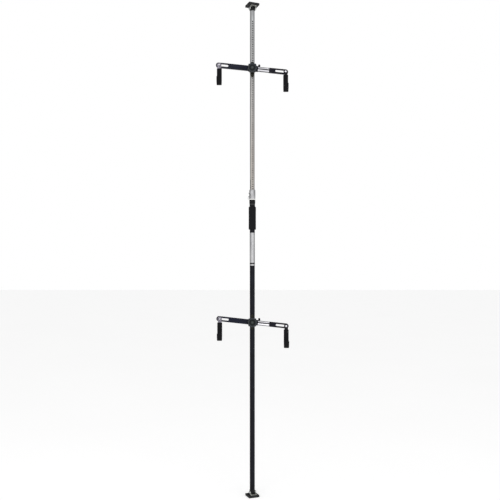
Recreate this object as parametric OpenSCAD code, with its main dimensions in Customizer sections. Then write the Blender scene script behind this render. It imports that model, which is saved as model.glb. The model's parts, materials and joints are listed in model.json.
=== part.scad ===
// Floor-to-ceiling bike storage rack: a sprung tension pole with two adjustable arms.
// Each arm hangs a bike by its top tube on two sleeved hooks.
// Origin: centre of the floor pad's underside. +Z up, the arms lie along X, the hooks face -Y.

/* [Pole] */
// Floor to ceiling height that the pole is set to
room_height = 2733; // [2600:1:2860]
// Outside diameter of the lower tube
lower_od = 28; // [27.4:0.1:32]
// Wall of the lower tube
lower_wall = 1; // [0.8:0.1:1.1]
// Height of the lower tube's top end
lower_top = 1621; // [1560:1:1680]
// Outside diameter of the perforated upper tube
upper_od = 25.4; // [24.6:0.1:25.6]
// Wall of the upper tube
upper_wall = 1.5; // [1:0.1:2.5]
// Length of the upper tube
upper_len = 1445; // [1360:1:1500]

/* [Perforation] */
// Diameter of the holes in the upper tube
hole_d = 6.7; // [6.4:0.1:8]
// Distance between the holes of one column
hole_pitch = 12.7; // [11:0.1:16]
// Angle of the front hole column from the front, towards +X
hole_turn = 9.6; // [0:0.1:20]
// Angle between the front column and the lock pin's column
pin_column = 60; // [50:1:90]
// Stretch above the lock pin that also has pin holes, for setting the height
pin_holes = 100; // [60:10:300]

/* [Feet] */
// Side of the square floor and ceiling pads
pad_side = 61; // [54:1:80]
// Thickness of the pads
pad_t = 12; // [8:1:18]
// Angle of the pads and their pivot bolts about the pole
pad_turn = 22; // [0:1:45]
// Sheet thickness of the pivot brackets
bracket_t = 2.5; // [2:0.1:3]
// Clear width between a bracket's ears
bracket_gap = 27; // [26:0.1:32]
// Length of a bracket's base along its ears
bracket_len = 46; // [36:1:52]
// Height of a bracket's bolt above its base
pivot_rise = 9.5; // [9.5:0.1:12]
// Radius of the ears and lugs about the bolt
ear_r = 9; // [8:0.1:9]
// Diameter of the pivot bolts
pivot_d = 8; // [6:0.1:8.2]
// Diameter of a pivot bolt's head
pivot_head_d = 15; // [12:0.1:17]
// Thickness of a pivot bolt's head
pivot_head_t = 3; // [2:0.1:4]
// Length of a plug inside its tube
plug_len = 40; // [25:1:60]
// Thickness of the rim on a plug
rim_t = 3; // [2:0.1:5]
// Gap between an ear's top and the plug's rim
rim_gap = 2; // [2:0.1:4]

/* [Grip and label] */
// Outside diameter of the foam grip
grip_od = 40.5; // [36:0.1:46]
// Length of the foam grip
grip_len = 127; // [90:1:150]
// Gap between the tube cap's skirt and the grip
grip_gap = 1; // [0:0.1:20]
// Length of the label band
label_len = 182; // [100:1:200]
// Thickness of the label band
label_t = 0.3; // [0.2:0.1:0.6]
// Gap between the grip and the label band
label_gap = 18; // [5:1:40]

/* [Tension lock] */
// Height of the tube cap above the tube's end
cap_h = 25; // [22:0.1:32]
// Outside diameter of the tube cap
cap_od = 33; // [33:0.1:33.8]
// Length of the cap's skirt over the lower tube
skirt_len = 12; // [8:1:20]
// Outside diameter of the cap's skirt
skirt_od = 30.6; // [30.4:0.1:31.4]
// Thickness of the cap's floor, where the spring stands
cap_floor = 7; // [4:0.1:9]
// Outside diameter of the lock housing
housing_od = 34; // [34:0.1:38]
// Thickness of the nylon washer under the lock housing
nylon_t = 4; // [2:0.1:4.5]
// Height of the lock housing
housing_h = 52; // [50:1:70]
// Wall of the lock housing
housing_wall = 1.3; // [1.2:0.1:1.4]
// Thickness of the housing's top
housing_top = 3.5; // [2:0.1:5]
// Height of the pin carrier
carrier_h = 13; // [11:0.1:15]
// Wall of the pin carrier
carrier_wall = 2.3; // [2:0.1:2.4]
// Diameter of the lock pin
pin_d = 6; // [5:0.1:6.2]
// Height of the lock pin above the tube cap
pin_rise = 16.3; // [16:0.1:17.5]
// Way that the pole can shorten further
travel_down = 4; // [2:0.1:4]
// Way that the spring lengthens the pole when it is free
travel_up = 13; // [8:0.1:15]
// Wire diameter of the tension spring
spring_wire = 2; // [1.6:0.1:2]
// Turns of the tension spring
spring_turns = 6; // [4:1:7]
// Diameter of the ball-shaped head of the stop screw
stop_head_d = 7; // [5:0.1:9]
// Diameter of the stop screw's shank
stop_shank_d = 4.6; // [3:0.1:5]
// Angle of the stop screw about the pole
stop_turn = 149; // [130:1:165]
// Wire diameter of the pull ring
ring_wire = 1.6; // [1.2:0.1:2]
// Mean radius of the pull ring
ring_r = 7; // [6:0.1:9]

/* [Arms] */
// Height of the upper knob
upper_arm_z = 2364; // [2200:1:2450]
// Slope of the upper arm, down towards +X
upper_slope = 5.8; // [0:0.1:12]
// Knob to left hook on the upper arm
upper_left_reach = 182; // [170:1:200]
// Knob to right hook on the upper arm
upper_right_reach = 184; // [181:1:200]
// Height of the lower knob
lower_arm_z = 969; // [800:1:1100]
// Slope of the lower arm, down towards +X
lower_slope = 6.2; // [0:0.1:12]
// Knob to left hook on the lower arm
lower_left_reach = 180; // [170:1:200]
// Knob to right hook on the lower arm
lower_right_reach = 187; // [181:1:200]
// Height of the arm channel
channel_h = 28; // [28:0.1:34]
// Depth of the arm channel, front to back
channel_d = 11; // [10.8:0.1:16]
// Wall of the arm channel
channel_wall = 1.2; // [1:0.1:1.3]
// Knob to the channel's open end
channel_right = 31; // [25:1:36]
// Channel beyond the left hook's bolt
channel_over = 19; // [17:1:25]
// Height of the slide bar
bar_h = 25.2; // [24:0.1:25.4]
// Depth of the slide bar
bar_d = 8.2; // [7.4:0.1:8.4]
// Slide bar inside the channel, left of the knob
bar_in = 62; // [55:1:75]
// Width of the groove along the slide bar
groove_w = 5.5; // [3:0.1:7]
// How far the groove lies above the slide bar's middle
groove_up = 2; // [0:0.1:4]
// Depth of the groove along the slide bar
groove_d = 1.2; // [0.6:0.1:1.4]
// Knob to the start of the end piece
end_start = 93; // [80:1:96]
// Height of the end piece
end_h = 27.4; // [26:0.1:30]
// Wall of the end piece in front of its pocket
end_wall = 3; // [2:0.1:4]
// Length of the bar's tongue inside the end piece
tongue_len = 25; // [15:1:28]
// Way that the slide bar can move in
bar_move_in = 25; // [10:1:25]
// Way that the slide bar can move out
bar_move_out = 30; // [10:1:32]
// Height of the hook bolts' slots
slot_h = 10.5; // [9:0.1:12]
// Height of the opening behind a slot, where the hook bolt's nut runs
window_h = 18; // [17:0.1:19]
// Way that a left hook can move in
left_move = 44; // [20:1:50]
// Way that a right hook can move in
right_move = 52; // [20:1:52]

/* [Clamp] */
// Wall of the plastic liner round the pole
liner_t = 1.2; // [1:0.1:2]
// Height of the liner
liner_h = 30; // [24:1:36]
// Thickness of the clamp strap
strap_t = 2; // [1.5:0.1:2.5]
// Height of the clamp strap
strap_h = 20; // [18:1:22]
// Width of the saddle
saddle_w = 22; // [18:0.1:26]
// Height of the saddle
saddle_h = 84; // [70:1:90]
// Length of the saddle's tapered ends
saddle_taper = 16; // [12:1:24]
// Depth of the saddle in front of the liner
saddle_d = 15; // [14:0.1:18]
// Diameter of the clamp stud
stud_d = 8; // [6:0.1:8]
// Diameter of the stud's head
stud_head_d = 16; // [14:0.1:18]
// Thickness of the stud's head
stud_head_t = 4; // [3:0.1:4]
// Diameter of the friction washer
washer_d = 28; // [24:0.1:29]
// Thickness of the friction washer
washer_t = 1; // [0.8:0.1:2]

/* [Knobs] */
// Diameter of the star knob over its lobes
knob_d = 60; // [54:0.1:66]
// Number of lobes on the star knob
knob_lobes = 12; // [8:1:14]
// Radius of one lobe
lobe_r = 5; // [4.5:0.1:6]
// Depth of the notches between the lobes
notch_d = 3.5; // [2:0.1:5]
// Thickness of the star
knob_t = 13; // [12:0.1:20]
// Diameter of the hub behind the star
hub_d = 30; // [26:0.1:34]
// Length of the hub behind the star
hub_t = 5; // [4:0.1:12]
// Diameter of the knob's cap
cap_disc_d = 26; // [22:0.1:28]
// Thickness of the knob's cap
cap_disc_t = 4; // [3:0.1:5]
// How far the cap stands out of the star
cap_proud = 1.5; // [0.5:0.1:3]
// Diameter of the ball on the lock screw
ball_d = 12; // [9:0.1:14]
// Knob to the lock screw
screw_x = 36; // [36:0.1:40]
// Diameter of the lock screw
screw_d = 5; // [4:0.1:6]
// Thickness of the tab that holds the lock screw
tab_t = 2.9; // [2.2:0.1:4]
// Length of the tab beyond the channel
tab_len = 12; // [12:1:16]

/* [Hooks] */
// Width of the hook strap
hook_w = 20; // [18:0.1:24]
// Thickness of the hook strap
hook_t = 3; // [2.5:0.1:4]
// Radius of the rounded plate at the bolt
plate_r = 12; // [11:0.1:15]
// Mean radius of the hook's bend
bend_r = 25; // [22:0.1:32]
// Bolt to the lowest point of the strap's mid-line
hook_drop = 114; // [95:1:130]
// Height of the front lip above the lowest point
lip_h = 34; // [28:1:50]
// Width of the sleeve
sleeve_w = 27; // [25:0.1:32]
// Thickness of the sleeve over both sides of the strap
sleeve_t = 8; // [6.5:0.1:8.2]
// Bolt to the top end of a left hook's sleeve
left_sleeve_top = 20; // [15:1:30]
// Bolt to the top end of a right hook's sleeve
right_sleeve_top = 19; // [15:1:30]
// Sleeve beyond the lip's end
sleeve_end = 3; // [2:0.1:6]
// Diameter of a hook bolt
bolt_d = 8; // [6:0.1:8.2]
// Diameter of a hook bolt's head
bolt_head_d = 13; // [12:0.1:18]
// Thickness of a hook bolt's head
bolt_head_t = 3.5; // [2.5:0.1:5]
// Width of the hexagon nuts across their flats
nut_af = 13; // [12:0.1:14]
// Thickness of the hexagon nuts
nut_t = 5; // [4:0.1:7]
// Thickness of the spacer between arm and hook
spacer_t = 3.2; // [3:0.1:5]
// Diameter of the spacer
spacer_d = 17; // [14:0.1:20]

/* [Clearances] */
// Radial clearance of parts that turn or slide on each other
run_gap = 0.08; // [0.05:0.01:0.1]
// Radial clearance of parts that are fitted and stay put
fit_gap = 0.05; // [0.02:0.01:0.1]
// Gap between flat faces that move past each other
face_gap = 0.1; // [0.05:0.01:0.2]
// Side clearance of the slide bar and of a lug in its bracket
side_gap = 0.3; // [0.2:0.05:0.35]

/* [Hidden] */
$fn = 48;
// Amount by which a cutter runs past the face it cuts
over = 1;
// Length of thread that shows past a nut
thread_end = 1.5;

// Heights at the feet. The ceiling end is the floor end upside down.
pivot_z = pad_t + bracket_t + pivot_rise;
rim_z = pivot_z + ear_r + rim_gap;
tube_z = rim_z + rim_t;

// Directions about the pole, counted from +X
front_turn = 270 + hole_turn;
pin_turn = front_turn - pin_column;

// Ends and bores of the tubes
upper_top = room_height - tube_z;
upper_bottom = upper_top - upper_len;
lower_id = lower_od - 2 * lower_wall;
upper_id = upper_od - 2 * upper_wall;

// Heights on the lower tube
skirt_z = lower_top - skirt_len;
grip_z = skirt_z - grip_gap - grip_len;
label_z = grip_z - label_gap - label_len;

// Tension lock
cap_top = lower_top + cap_h;
spring_z = lower_top + cap_floor;
spigot_past = 4;
spigot_h = nylon_t + spigot_past;
spigot_od = cap_od - 1;
housing_z = cap_top + nylon_t;
housing_id = housing_od - 2 * housing_wall;
pin_z = cap_top + pin_rise;
carrier_r = upper_od / 2 + fit_gap + carrier_wall;
pocket_r = carrier_r + side_gap;
spring_len = pin_z - carrier_h / 2 - spring_z;
spring_r = upper_od / 2 + 0.4 + spring_wire / 2;
stop_z = pin_z + carrier_h / 2 + travel_up + stop_shank_d / 2;
slot_w = pin_d + 1.2;
// Distance from the housing out to the eye that the pull ring hangs in
eye_out = 7;
eye_r = housing_od / 2 + eye_out;
eye_d = ring_wire + 0.9;
tang_t = 3;
tang_d = 7;

// An arm is [height, slope, left reach, right reach, tube diameter]
UPPER = [upper_arm_z, upper_slope, upper_left_reach, upper_right_reach, upper_od];
LOWER = [lower_arm_z, lower_slope, lower_left_reach, lower_right_reach, lower_od];
function arm_z(arm) = arm[0];
function arm_slope(arm) = arm[1];
function left_x(arm) = -arm[2];
function right_x(arm) = arm[3];
// Radius of the liner's outside, and of the strap's and saddle's inside
function liner_r(arm) = arm[4] / 2 + run_gap + liner_t;
function seat_r(arm) = liner_r(arm) + run_gap;
// Distance from the pole's axis to the saddle's front and to the channel's back
function saddle_y(arm) = seat_r(arm) + saddle_d;
function channel_y(arm) = saddle_y(arm) + washer_t + face_gap;

// Depths in a clamp, counted forward from the seat radius
head_back = 3.9;
wall_back = head_back + stud_head_t;
wall_front = wall_back + strap_t;
slot_gap = 0.2;
// Depths in an arm, counted forward from the channel's back
knob_back = channel_d + face_gap;
knob_front = knob_back + hub_t + knob_t;
stud_end = knob_front - cap_disc_t - 2;
hook_back = channel_d + spacer_t + 2 * face_gap;
hook_mid = hook_back + hook_t / 2;
bend_drop = hook_drop - bend_r;
bolt_front = hook_back + hook_t + face_gap;
// Tongue of the slide bar inside the end piece
tongue_step_h = 4;
tongue_step_d = 1.5;
tongue_h = bar_h - 2 * tongue_step_h;
tongue_d = bar_d - 2 * tongue_step_d;

module tube(od, id, h) {
  difference() {
    cylinder(d = od, h = h);
    translate([0, 0, -over]) cylinder(d = id, h = h + 2 * over);
  }
}

// A cylinder along Y, from y1 forward to y2
module along_y(d, y1, y2) {
  translate([0, -y1, 0]) rotate([90, 0, 0]) cylinder(d = d, h = y2 - y1);
}

// A hexagon nut along Y, with its bore
module nut_y(bore_d, y1, y2) {
  difference() {
    translate([0, -y1, 0]) rotate([90, 0, 0]) cylinder(d = nut_af / cos(30), h = y2 - y1, $fn = 6);
    along_y(bore_d, y1 - over, y2 + over);
  }
}

// Feet: a pad, a bracket with two ears, a bolt with its nut and a plug, built at the floor
module turned_foot() {
  rotate([0, 0, pad_turn]) children();
}

module at_ceiling() {
  translate([0, 0, room_height]) mirror([0, 0, 1]) children();
}

module pad() {
  turned_foot() translate([-pad_side / 2, -pad_side / 2, 0]) cube([pad_side, pad_side, pad_t]);
}

module ear_outline() {
  translate([0, pivot_rise]) circle(r = ear_r);
  polygon([[-bracket_len / 2, -bracket_t], [bracket_len / 2, -bracket_t], [bracket_len / 2, 0],
    [ear_r, pivot_rise], [-ear_r, pivot_rise], [-bracket_len / 2, 0]]);
}

module bracket() {
  half = bracket_gap / 2 + bracket_t;
  turned_foot() difference() {
    translate([0, 0, pad_t + bracket_t]) union() {
      translate([-half, -bracket_len / 2, -bracket_t]) cube([2 * half, bracket_len, bracket_t]);
      for (side = [-1, 1])
        translate([side * (bracket_gap + bracket_t) / 2, 0, 0]) rotate([90, 0, 90])
          linear_extrude(height = bracket_t, center = true) ear_outline();
    }
    translate([-half - over, 0, pivot_z]) rotate([0, 90, 0])
      cylinder(d = pivot_d + 2 * fit_gap, h = 2 * (half + over));
  }
}

// A bolt with a low round head on the near ear, and its nut on the far one
module pivot_bolt() {
  half = bracket_gap / 2 + bracket_t;
  turned_foot() translate([0, 0, pivot_z]) rotate([0, 0, -90]) {
    along_y(pivot_d, -half - nut_t - thread_end, half + over);
    along_y(pivot_head_d, half, half + pivot_head_t);
    nut_y(pivot_d + 2 * fit_gap, -half - nut_t, -half);
  }
}

module plug(od, id) {
  lug_w = bracket_gap - 2 * side_gap;
  turned_foot() difference() {
    union() {
      translate([0, 0, pivot_z]) rotate([0, 90, 0]) cylinder(r = ear_r, h = lug_w, center = true);
      translate([-lug_w / 2, -ear_r, pivot_z]) cube([lug_w, 2 * ear_r, rim_z - pivot_z + rim_t / 2]);
      translate([0, 0, rim_z]) cylinder(d = od, h = rim_t);
      translate([0, 0, tube_z - rim_t / 2]) cylinder(d = id - 2 * fit_gap, h = plug_len);
    }
    translate([0, 0, pivot_z]) rotate([0, 90, 0])
      cylinder(d = pivot_d + 2 * run_gap, h = bracket_gap + 2 * over, center = true);
    // Lug corners that would stand out past a slim tube
    translate([0, 0, pivot_z + ear_r]) difference() {
      cylinder(d = 3 * od, h = rim_z - pivot_z - ear_r);
      translate([0, 0, -over]) cylinder(d = od + 2, h = rim_gap + 2 * over);
    }
  }
}

module floor_pad() color("#1c1c1e") pad();
module floor_bracket() color("#b4b6b0") bracket();
module floor_bolt() color("#a8aaab") pivot_bolt();
module floor_plug() color("#17181a") plug(lower_od, lower_id);

module ceiling_pad() color("#1c1c1e") at_ceiling() pad();
module ceiling_bracket() color("#b4b6b0") at_ceiling() bracket();
module ceiling_bolt() color("#a8aaab") at_ceiling() pivot_bolt();
module ceiling_plug() color("#17181a") at_ceiling() plug(upper_od, upper_id);

// Lower section of the pole
module lower_tube() {
  color("#1e1f25") translate([0, 0, tube_z]) tube(lower_od, lower_id, lower_top - tube_z);
}

module label_band() {
  color("#c9cacc") translate([0, 0, label_z]) tube(lower_od + 2 * label_t, lower_od, label_len);
}

module grip() {
  round_r = 3;
  wall = (grip_od - lower_od) / 2;
  color("#202024") translate([0, 0, grip_z]) rotate_extrude($fn = 64) translate([lower_od / 2, 0]) {
    square([wall - round_r, grip_len]);
    translate([0, round_r]) square([wall, grip_len - 2 * round_r]);
    for (z = [round_r, grip_len - round_r])
      translate([wall - round_r, z]) circle(r = round_r);
  }
}

module tube_cap() {
  bead_h = 5;
  bead_od = (skirt_od + cap_od) / 2;
  color("#141416") translate([0, 0, lower_top]) difference() {
    union() {
      translate([0, 0, -skirt_len]) cylinder(d = skirt_od, h = skirt_len + over);
      cylinder(d = bead_od, h = bead_h);
      translate([0, 0, bead_h]) cylinder(d = cap_od, h = cap_h - bead_h);
      translate([0, 0, cap_h]) cylinder(d = spigot_od, h = spigot_h);
    }
    translate([0, 0, -skirt_len - over]) cylinder(d = lower_od + 2 * fit_gap, h = skirt_len + over);
    translate([0, 0, -over]) cylinder(d = upper_od + 2 * run_gap, h = cap_floor + 2 * over);
    translate([0, 0, cap_floor]) cylinder(r = pocket_r, h = cap_h + spigot_h);
  }
}

// Turned tube from points: a ring of corners at each step of the helix, joined to the next
module helix_wire(radius, wire_d, rise, turns, steps, sides) {
  n = turns * steps;
  ring = [for (i = [0:n]) let (a = 360 * i / steps, z = rise * i / n)
    [for (k = [0:sides - 1]) let (b = 360 * k / sides)
      [(radius + wire_d / 2 * cos(b)) * cos(a), (radius + wire_d / 2 * cos(b)) * sin(a),
        z + wire_d / 2 * sin(b)]]];
  points = [for (r = ring) for (p = r) p];
  walls = [for (i = [0:n - 1]) for (k = [0:sides - 1])
    let (p = i * sides + k, q = i * sides + (k + 1) % sides)
    for (f = [[p, q, q + sides], [p, q + sides, p + sides]]) f];
  first = [for (k = [1:sides - 2]) [0, k + 1, k]];
  last = [for (k = [1:sides - 2]) [n * sides, n * sides + k, n * sides + k + 1]];
  polyhedron(points = points, faces = concat([for (f = walls) [f[0], f[2], f[1]]],
    [for (f = first) [f[0], f[2], f[1]]], [for (f = last) [f[0], f[2], f[1]]]));
}

module tension_spring() {
  end_gap = 0.05;
  color("#8f9296") translate([0, 0, spring_z + spring_wire / 2 + end_gap])
    helix_wire(spring_r, spring_wire, spring_len - spring_wire - 2 * end_gap, spring_turns, 16, 6);
}

// Direction from the pole out through the lock pin's head
module along_pin() {
  translate([0, 0, pin_z]) rotate([0, 90, pin_turn]) children();
}

module nylon_washer() {
  color("#f1f1ee") translate([0, 0, cap_top]) tube(housing_od + 0.6, spigot_od + 2 * fit_gap, nylon_t);
}

module lock_housing() {
  edge = 2;
  slot_low = -travel_down - pin_d / 2 - 0.6;
  slot_high = travel_up + pin_d / 2 + 0.6;
  color("#cdced0") difference() {
    translate([0, 0, housing_z]) rotate_extrude($fn = 64)
      polygon([[0, 0], [housing_od / 2, 0], [housing_od / 2, housing_h - edge],
        [housing_od / 2 - edge, housing_h], [0, housing_h]]);
    translate([0, 0, housing_z - over])
      cylinder(d = spigot_od + 2 * fit_gap, h = spigot_h - nylon_t + over);
    translate([0, 0, housing_z]) cylinder(d = housing_id, h = housing_h - housing_top);
    translate([0, 0, housing_z]) cylinder(d = upper_od + 1, h = housing_h + over);
    // Slot that the lock pin's neck moves in
    rotate([0, 0, pin_turn]) translate([0, -slot_w / 2, pin_z + slot_low])
      cube([housing_od, slot_w, slot_high - slot_low]);
    translate([0, 0, stop_z]) rotate([0, 90, stop_turn])
      cylinder(d = stop_shank_d + 2 * fit_gap, h = housing_od);
  }
}

module stop_screw() {
  tip_r = upper_od / 2 + 0.8;
  color("#0f0f10") translate([0, 0, stop_z]) rotate([0, 90, stop_turn]) {
    translate([0, 0, tip_r]) cylinder(d = stop_shank_d, h = housing_od / 2 - tip_r + stop_head_d / 2);
    translate([0, 0, housing_od / 2 + stop_head_d / 2 - 0.8]) sphere(d = stop_head_d);
  }
}

// Upper section of the pole
module hole_columns() {
  // The lock pin's column goes through both walls. The front column lies half a pitch off it.
  for (column = [[pin_turn, pin_z, pin_z + pin_holes, -upper_od],
      [front_turn, pin_z + hole_pitch / 2, upper_top - plug_len - hole_pitch, 0]]) {
    first = ceil((upper_bottom + 2 * hole_pitch - column[1]) / hole_pitch);
    last = floor((column[2] - column[1]) / hole_pitch);
    for (i = [first:last])
      translate([0, 0, column[1] + i * hole_pitch]) rotate([0, 90, column[0]])
        translate([0, 0, column[3]]) cylinder(d = hole_d, h = upper_od - column[3], $fn = 24);
  }
}

module upper_tube() {
  color("#a9a6a4") difference() {
    translate([0, 0, upper_bottom]) tube(upper_od, upper_id, upper_len);
    hole_columns();
  }
}

module slide_bush() {
  rim_h = 12;
  color("#e4e2da") translate([0, 0, upper_bottom]) {
    translate([0, 0, -rim_h]) cylinder(d = lower_id - 2 * run_gap, h = rim_h);
    cylinder(d = upper_id - 2 * fit_gap, h = rim_h * 1.5);
  }
}

module pin_carrier() {
  color("#6f7276") translate([0, 0, pin_z]) difference() {
    translate([0, 0, -carrier_h / 2]) cylinder(r = carrier_r, h = carrier_h);
    translate([0, 0, -carrier_h]) cylinder(d = upper_od + 2 * fit_gap, h = 2 * carrier_h);
    rotate([0, 90, pin_turn]) cylinder(d = pin_d + 2 * run_gap, h = 2 * housing_od, center = true);
  }
}

// The eye's hole lies level, across the pin, and the ring hangs straight down from it
module at_eye() {
  rotate([0, 0, pin_turn]) translate([eye_r, 0, pin_z]) children();
}

module lock_pin() {
  head_d = 9;
  head_t = 2;
  color("#b9bbbd") difference() {
    union() {
      along_pin() translate([0, 0, -carrier_r]) cylinder(d = pin_d, h = carrier_r + eye_r - tang_d / 4);
      along_pin() translate([0, 0, housing_od / 2 + side_gap]) cylinder(d = head_d, h = head_t);
      at_eye() along_y(tang_d, -tang_t / 2, tang_t / 2);
    }
    at_eye() along_y(eye_d, -tang_t, tang_t);
  }
}

module pull_ring() {
  color("#55585c") at_eye() translate([0, 0, -ring_r]) rotate([0, 90, 0])
    rotate_extrude() translate([ring_r, 0]) circle(d = ring_wire, $fn = 24);
}

// Arms. on_pole() places a clamp, on_arm() tilts what hangs in front of it.
module on_pole(arm) {
  translate([0, 0, arm_z(arm)]) children();
}

module on_arm(arm) {
  translate([0, -channel_y(arm), arm_z(arm)]) rotate([0, arm_slope(arm), 0]) children();
}

// A point on the arm's mid-line, with the axes left upright
module upright_at(arm, x) {
  translate([0, -channel_y(arm), arm_z(arm)])
    translate([x * cos(arm_slope(arm)), 0, -x * sin(arm_slope(arm))]) children();
}

module liner(arm) {
  color("#d5d5d0") on_pole(arm) translate([0, 0, -liner_h / 2])
    tube(2 * liner_r(arm), arm[4] + 2 * run_gap, liner_h);
}

module strap_outline(arm, grow) {
  circle(r = seat_r(arm) + grow);
  translate([-seat_r(arm) - grow, -seat_r(arm) - wall_back - grow])
    square([2 * (seat_r(arm) + grow), seat_r(arm) + wall_back + grow]);
}

module strap(arm) {
  color("#a4a6a8") on_pole(arm) difference() {
    linear_extrude(height = strap_h, center = true) difference() {
      strap_outline(arm, strap_t);
      strap_outline(arm, 0);
    }
    along_y(stud_d + 2 * fit_gap, 0, 3 * saddle_y(arm));
  }
}

module saddle(arm) {
  tip_r = 5.5;
  shoulder = saddle_h / 2 - saddle_taper;
  // From the right shoulder over the round upper tip to the left one
  upper_half = concat([[saddle_w / 2, shoulder]],
    [for (a = [0:15:180]) [tip_r * cos(a), saddle_h / 2 - tip_r + tip_r * sin(a)]],
    [[-saddle_w / 2, shoulder]]);
  color("#16171a") on_pole(arm) difference() {
    translate([0, -saddle_y(arm), 0]) rotate([-90, 0, 0])
      linear_extrude(height = saddle_y(arm))
        polygon([for (side = [1, -1]) for (p = upper_half) side * p]);
    cylinder(r = seat_r(arm), h = 2 * saddle_h, center = true, $fn = 64);
    // Slot for the strap's front wall and the stud's head
    translate([-saddle_w, -seat_r(arm) - wall_front - slot_gap, -strap_h / 2 - slot_gap])
      cube([2 * saddle_w, wall_front - head_back + 2 * slot_gap, strap_h + 2 * slot_gap]);
    along_y(stud_d + 2 * fit_gap, seat_r(arm) + wall_back, saddle_y(arm) + over);
  }
}

module stud(arm) {
  color("#b4b6b8") on_pole(arm) {
    along_y(stud_head_d, seat_r(arm) + head_back, seat_r(arm) + wall_back);
    along_y(stud_d, seat_r(arm) + wall_back - over, channel_y(arm) + stud_end);
  }
}

module washer(arm) {
  color("#3a3b3e") on_pole(arm) difference() {
    along_y(washer_d, saddle_y(arm), saddle_y(arm) + washer_t);
    along_y(stud_d + 2 * fit_gap, 0, saddle_y(arm) + 2 * washer_t);
  }
}

module star_outline() {
  lobe_at = knob_d / 2 - lobe_r;
  circle(r = knob_d / 2 - notch_d, $fn = 64);
  for (i = [0:knob_lobes - 1])
    rotate((i + 0.5) * 360 / knob_lobes) translate([lobe_at, 0]) circle(r = lobe_r, $fn = 32);
}

module knob(arm) {
  ring_w = 4;
  ring_in = cap_disc_d / 2 + ring_w;
  ring_out = ring_in + ring_w;
  groove = 1.2;
  color("#26282c") on_pole(arm) translate([0, -channel_y(arm), 0]) difference() {
    union() {
      along_y(hub_d, knob_back, knob_back + hub_t + over);
      translate([0, -knob_back - hub_t, 0]) rotate([90, 0, 0])
        linear_extrude(height = knob_t) star_outline();
    }
    along_y(stud_d + 2 * run_gap, 0, stud_end + 0.5);
    along_y(cap_disc_d + 2 * fit_gap, knob_front - cap_disc_t + cap_proud, knob_front + over);
    // Shallow ring groove in the face
    difference() {
      along_y(2 * ring_out, knob_front - groove, knob_front + over);
      along_y(2 * ring_in, knob_front - 2 * groove, knob_front + 2 * over);
    }
  }
}

module knob_cap(arm) {
  color("#4a5250") on_pole(arm) translate([0, -channel_y(arm), 0])
    along_y(cap_disc_d, knob_front - cap_disc_t + cap_proud, knob_front + cap_proud);
}

// A slot along X with round ends at x1 and x2, from the arm's back forward to depth
module slot_xy(x1, x2, h, depth = channel_d + over) {
  translate([0, over, 0]) rotate([90, 0, 0]) linear_extrude(height = depth + over) {
    translate([x1, -h / 2]) square([x2 - x1, h]);
    for (x = [x1, x2]) translate([x, 0]) circle(d = h);
  }
}

module channel(arm) {
  left_end = left_x(arm) - channel_over;
  tab_w = channel_d - 2 * channel_wall;
  tab_z = channel_h / 2 - channel_wall;
  color("#1d1f2a") on_arm(arm) difference() {
    union() {
      rotate([90, 0, 0]) linear_extrude(height = channel_d) {
        translate([left_end + channel_h / 2, 0]) circle(d = channel_h, $fn = 64);
        translate([left_end + channel_h / 2, -channel_h / 2])
          square([channel_right - left_end - channel_h / 2, channel_h]);
      }
      translate([channel_right - tab_len, -channel_d + channel_wall, tab_z])
        cube([2 * tab_len, tab_w, tab_t]);
    }
    // Inside, open at the right end
    translate([left_end + channel_h / 2, -channel_wall, 0]) rotate([90, 0, 0])
      linear_extrude(height = tab_w) {
        circle(d = channel_h - 2 * channel_wall, $fn = 64);
        translate([0, -channel_h / 2 + channel_wall])
          square([2 * (channel_right - left_end), channel_h - 2 * channel_wall]);
      }
    slot_xy(left_x(arm), left_x(arm) + left_move, slot_h);
    slot_xy(left_x(arm), left_x(arm) + left_move, window_h, channel_d / 2);
    along_y(stud_d + 2 * run_gap, -over, channel_d + over);
    translate([screw_x, -channel_d / 2, tab_z - over])
      cylinder(d = screw_d + 2 * run_gap, h = tab_t + 2 * over);
  }
}

module slide_bar(arm) {
  back = (channel_d - bar_d) / 2;
  color("#c4c3c9") on_arm(arm) difference() {
    union() {
      translate([-bar_in, -back - bar_d, -bar_h / 2]) cube([bar_in + end_start, bar_d, bar_h]);
      translate([end_start - over, -(channel_d + tongue_d) / 2, -tongue_h / 2])
        cube([tongue_len + over, tongue_d, tongue_h]);
    }
    // Grooves along the front and the back
    for (y = [-back - bar_d, -back])
      translate([-bar_in - over, y - groove_d, groove_up - groove_w / 2])
        cube([bar_in + end_start + over, 2 * groove_d, groove_w]);
    // Slot that the stud stands in while the bar moves
    slot_xy(-bar_move_out - 1, bar_move_in + 1, stud_d + 1);
  }
}

module end_piece(arm) {
  color("#1b1c24") on_arm(arm) difference() {
    rotate([90, 0, 0]) linear_extrude(height = channel_d) {
      translate([end_start, -end_h / 2]) square([right_x(arm) - end_start, end_h]);
      translate([right_x(arm), 0]) circle(d = end_h, $fn = 64);
    }
    translate([end_start - over, -(channel_d + tongue_d) / 2 - fit_gap, -tongue_h / 2 - fit_gap])
      cube([tongue_len + over + fit_gap, tongue_d + 2 * fit_gap, tongue_h + 2 * fit_gap]);
    slot_xy(right_x(arm) - right_move, right_x(arm), slot_h);
    slot_xy(right_x(arm) - right_move, right_x(arm), window_h, channel_d - end_wall);
  }
}

module lock_screw(arm) {
  tab_top = channel_h / 2 - channel_wall + tab_t;
  color("#0e0e10") on_arm(arm) translate([screw_x, -channel_d / 2, 0]) {
    translate([0, 0, bar_h / 2 + face_gap]) cylinder(d = screw_d, h = tab_top - bar_h / 2 + ball_d / 2);
    translate([0, 0, tab_top + ball_d / 2 - 0.4]) sphere(d = ball_d);
  }
}

// Hooks
module hook_bolt(arm, x, wall) {
  nut_front = channel_d - wall - face_gap;
  color("#c8c9cc") upright_at(arm, x) {
    along_y(bolt_head_d, bolt_front, bolt_front + bolt_head_t);
    along_y(bolt_d, nut_front - nut_t - thread_end, bolt_front + over);
    nut_y(bolt_d + 2 * fit_gap, nut_front - nut_t, nut_front);
  }
}

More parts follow.
